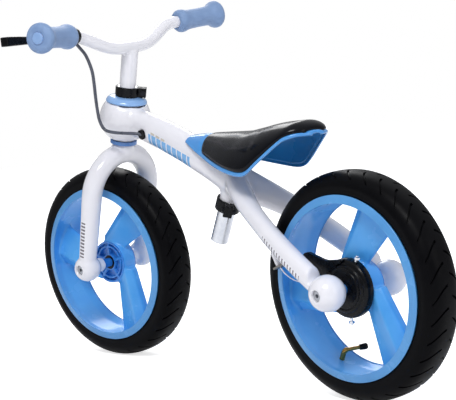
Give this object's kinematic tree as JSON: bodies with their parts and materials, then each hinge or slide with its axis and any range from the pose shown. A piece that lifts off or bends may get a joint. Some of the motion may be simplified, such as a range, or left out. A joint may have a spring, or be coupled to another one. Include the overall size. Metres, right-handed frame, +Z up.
{
  "type": "balance bike",
  "caption": "Child's balance bike with a split tube frame, air tyres on spoked plastic wheels, a steering fork, a sliding padded seat and a hand-operated hub brake.",
  "frame": {"origin": "on the ground under the rear axle, in the middle plane", "axes": "+X forward along the bike, +Y to the rider's left, +Z up"},
  "size_m": [0.8434, 0.4383, 0.5561],
  "materials": {
    "white_paint": "gloss",
    "steel": "satin",
    "black_metal": "satin",
    "black_rubber": "matt",
    "cable_casing": "satin",
    "white_plastic": "satin",
    "light_blue_plastic": "gloss",
    "blue_plastic": "gloss",
    "blue_rubber": "matt",
    "tyre_rubber": "matt",
    "tube_rubber": "matt",
    "brass": "polished",
    "seat_vinyl": "satin",
    "chrome": "polished"
  },
  "bodies": {
    "frame": {"head_shell": "white_paint", "main_tube": "white_paint", "left_arm": "white_paint", "right_arm": "white_paint", "seat_tube": "white_paint", "left_rear_end": "white_paint", "right_rear_end": "white_paint", "head_bearings": "steel", "seat_clamp": "black_metal", "seat_clamp_bolt": "steel", "cable_grommet": "black_rubber", "inner_cable": "cable_casing", "cable_sleeve": "white_plastic", "cable_stop": "steel", "brake_wire": "steel", "rear_axle": "steel", "rear_spacers": "steel", "rear_axle_bolts": "steel", "brake_cover": "black_metal", "brake_band": "steel", "brake_studs": "steel", "return_spring": "steel"},
    "fork": {"steerer": "steel", "fork_crown": "white_paint", "left_fork_leg": "white_paint", "right_fork_leg": "white_paint", "left_fork_end": "white_paint", "right_fork_end": "white_paint", "dust_cap": "light_blue_plastic", "lower_ring": "blue_plastic", "stem_collar": "black_metal", "stem_collar_bolt": "steel", "front_axle": "steel", "front_spacers": "steel", "front_axle_bolts": "steel"},
    "handlebar": {"handlebar": "white_paint", "left_grip": "blue_rubber", "right_grip": "blue_rubber", "grip_plugs": "white_plastic", "lever_bracket": "black_metal", "lever_pin": "steel", "brake_cable": "cable_casing"},
    "brake_lever": {"brake_lever": "black_metal"},
    "front_wheel": {"front_wheel": "blue_plastic", "front_tyre": "tyre_rubber", "front_inner_tube": "tube_rubber", "front_valve": "brass", "front_bearings": "steel"},
    "rear_wheel": {"rear_wheel": "blue_plastic", "rear_tyre": "tyre_rubber", "rear_inner_tube": "tube_rubber", "rear_valve": "brass", "rear_valve_cap": "black_rubber", "rear_bearings": "steel", "brake_drum": "steel"},
    "brake_arm": {"brake_arm": "black_metal"},
    "seat": {"seat_shell": "light_blue_plastic", "seat_pad": "seat_vinyl", "seat_post": "chrome", "seat_bracket": "steel"}
  },
  "joints": [
    {"name": "steering", "type": "hinge", "parent": "frame", "child": "fork", "pos_m": [0.47513, 0, 0.38281], "axis": [-0.2672, 0, 0.9636], "range_deg": [-67, 52], "deforming": ["brake_cable"]},
    {"name": "bar_height", "type": "slide", "parent": "fork", "child": "handlebar", "axis": [-0.2672, 0, 0.9636], "range_m": [0, 0.04], "deforming": ["brake_cable"]},
    {"name": "lever_pull", "type": "hinge", "parent": "handlebar", "child": "brake_lever", "pos_m": [0.44827, 0.13061, 0.51066], "axis": [0.0264, 0.0219, 0.9994], "range_deg": [0, 18], "stiffness_Nm_per_rad": 0.5, "springref_deg": -17.19},
    {"name": "front_wheel_spin", "type": "hinge", "parent": "fork", "child": "front_wheel", "pos_m": [0.539, 0, 0.1525], "axis": [-0.1274, 0.9912, -0.0353], "continuous": true},
    {"name": "rear_wheel_spin", "type": "hinge", "parent": "frame", "child": "rear_wheel", "pos_m": [0, 0, 0.1525], "axis": [0, 1, 0], "continuous": true},
    {"name": "brake_arm_turn", "type": "hinge", "parent": "frame", "child": "brake_arm", "pos_m": [0.027, 0.032, 0.1275], "axis": [0, 1, 0], "range_deg": [0, 9], "deforming": ["brake_wire"]},
    {"name": "seat_height", "type": "slide", "parent": "frame", "child": "seat", "axis": [-0.4415, 0, 0.8973], "range_m": [0, 0.05]}
  ],
  "couplings": [
    {"joint": "brake_arm_turn", "follows": "lever_pull", "ratio": 0.5}
  ]
}
